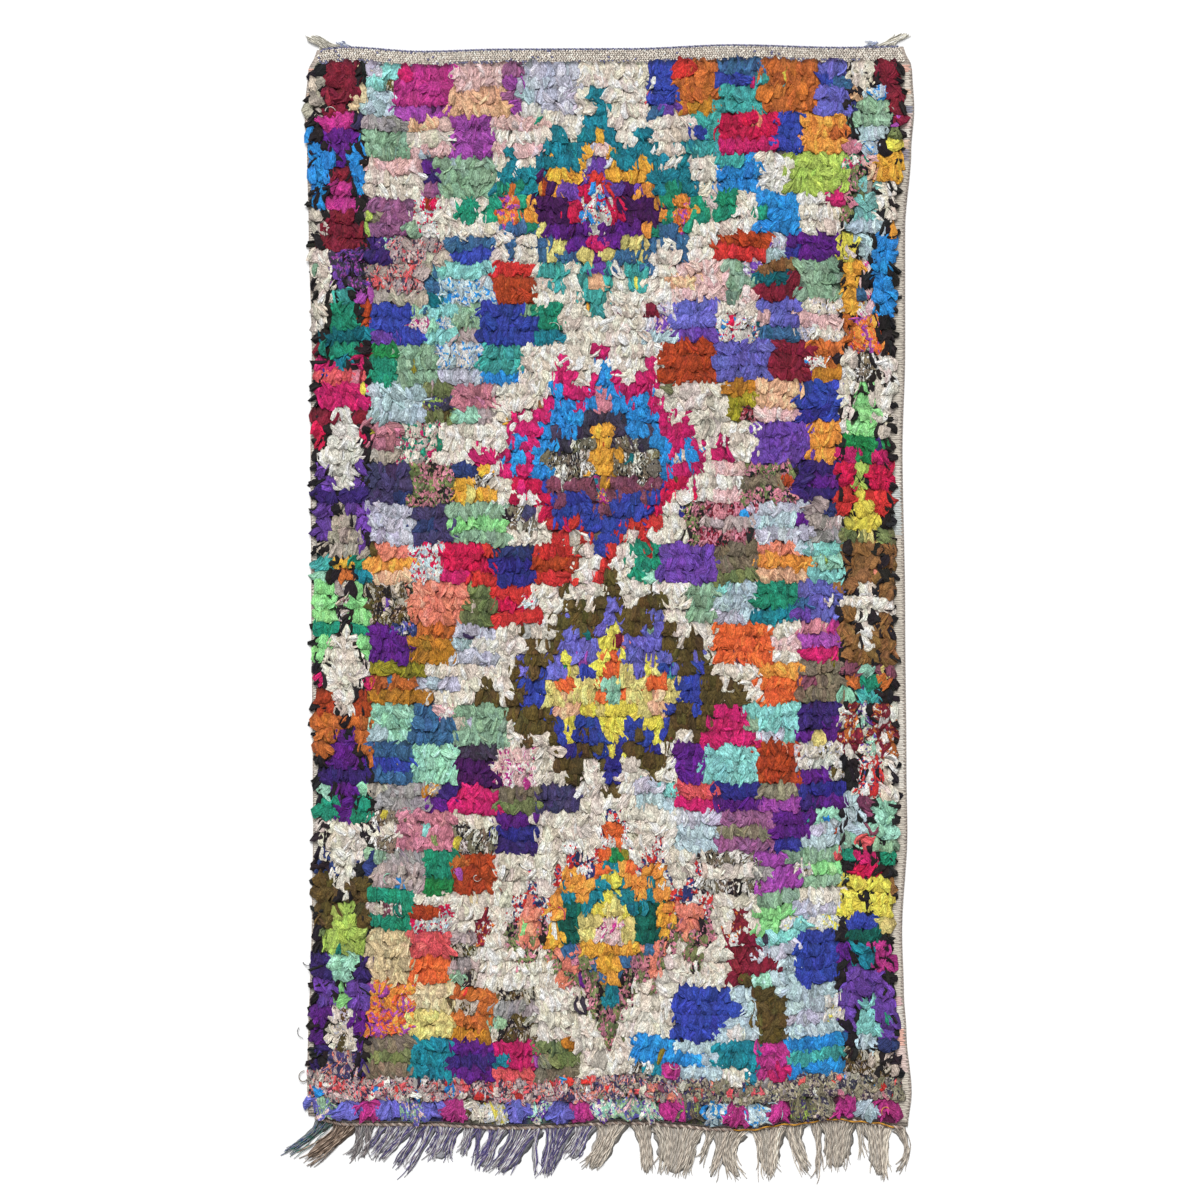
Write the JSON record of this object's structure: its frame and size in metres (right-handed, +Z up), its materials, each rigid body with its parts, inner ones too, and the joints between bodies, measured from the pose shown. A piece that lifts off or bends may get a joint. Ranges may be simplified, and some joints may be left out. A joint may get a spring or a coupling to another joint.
{
  "type": "boucherouite rug",
  "caption": "Flat hand-knotted rag rug with thick shaggy pile, bare side selvedges, a plain top band, a warp fringe at the bottom and a tassel at each top corner.",
  "frame": {"origin": "centre of the bounding box in X and Y, on the underside that lies on the floor", "axes": "+Y along the rug's length towards its plain top band, +X across its width, +Z up out of the pile"},
  "size_m": [1.4486, 2.643, 0.017],
  "materials": {
    "rag_pile": "crumpled cotton and synthetic rag pile in many colours over a cream wool and cotton ground, matt",
    "warp_fringe": "plied wool and cotton warp yarn, grey-beige and navy, matt",
    "warp_tassel": "plied cotton warp yarn, grey-green, matt"
  },
  "bodies": {
    "root": {"rug": "rag_pile", "fringe": "warp_fringe", "tassel_left": "warp_tassel", "tassel_right": "warp_tassel"}
  },
  "joints": []
}
